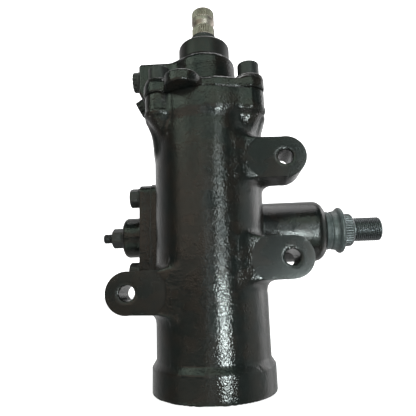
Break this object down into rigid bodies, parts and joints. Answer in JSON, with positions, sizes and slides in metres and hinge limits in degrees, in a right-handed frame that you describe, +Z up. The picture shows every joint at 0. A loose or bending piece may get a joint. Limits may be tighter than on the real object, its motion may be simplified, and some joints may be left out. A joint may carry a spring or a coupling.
{
  "type": "steering gearbox",
  "caption": "Recirculating-ball power steering gearbox: cast barrel with mounting ears, serrated input shaft on top, threaded cross shaft through the side, rack and sector inside.",
  "frame": {"origin": "centre of the base face, on the worm axis", "axes": "+Z up the worm axis to the input shaft, +X out along the sector shaft to its thread, -Y to the machined ear faces"},
  "size_m": [0.2831, 0.1565, 0.356],
  "materials": {
    "black_paint": "semi-gloss black paint over cast iron",
    "dark_steel": "blackened steel",
    "steel": "plain machined steel",
    "rubber": "matt black rubber",
    "black_plastic": "black moulded plastic",
    "bronze": "plain bearing bronze"
  },
  "bodies": {
    "housing": {"gear_housing": "black_paint", "valve_housing": "black_paint", "valve_housing_bolts": "dark_steel", "valve_housing_o_ring": "rubber", "side_cover": "black_paint", "side_cover_gasket": "rubber", "side_cover_bolts": "dark_steel", "adjusting_screw": "dark_steel", "adjuster_lock_nut": "dark_steel", "cover_bush": "bronze", "sector_bearing": "steel", "sector_oil_seal": "rubber", "seal_snap_ring": "steel", "sector_dust_boot": "rubber", "end_plug": "dark_steel", "end_plug_o_ring": "rubber", "end_plug_retaining_ring": "steel", "input_dust_cap": "black_paint", "input_oil_seal": "rubber", "input_bearing": "steel", "worm_bearing": "steel", "pressure_port_plug": "black_plastic", "return_port_plug": "black_plastic"},
    "worm": {"worm_shaft": "steel", "valve_sleeve": "steel", "valve_sleeve_rings": "rubber"},
    "input": {"input_shaft": "steel", "torsion_bar": "steel"},
    "piston": {"rack_piston": "steel", "piston_ring": "black_plastic", "piston_end_plug": "dark_steel", "recirculating_balls": "steel", "ball_return_guide": "steel", "guide_clamp": "steel", "guide_clamp_screws": "dark_steel"},
    "sector": {"sector_shaft": "steel"}
  },
  "joints": [
    {"name": "worm_turn", "type": "hinge", "parent": "housing", "child": "worm", "pos_m": [0, 0, 0], "axis": [0, 0, 1], "range_deg": [-703, 703]},
    {"name": "sector_swing", "type": "hinge", "parent": "housing", "child": "sector", "pos_m": [0, 0.055, 0.1375], "axis": [1, 0, 0], "range_deg": [-40, 40]},
    {"name": "piston_slide", "type": "slide", "parent": "housing", "child": "piston", "axis": [0, 0, 1], "range_m": [-0.0195, 0.0195]},
    {"name": "valve_twist", "type": "hinge", "parent": "worm", "child": "input", "pos_m": [0, 0, 0], "axis": [0, 0, 1], "range_deg": [-4, 4], "stiffness_Nm_per_rad": 60}
  ],
  "couplings": [
    {"joint": "worm_turn", "follows": "piston_slide", "rad_per_m": -628.32},
    {"joint": "sector_swing", "follows": "piston_slide", "rad_per_m": -35.714}
  ]
}
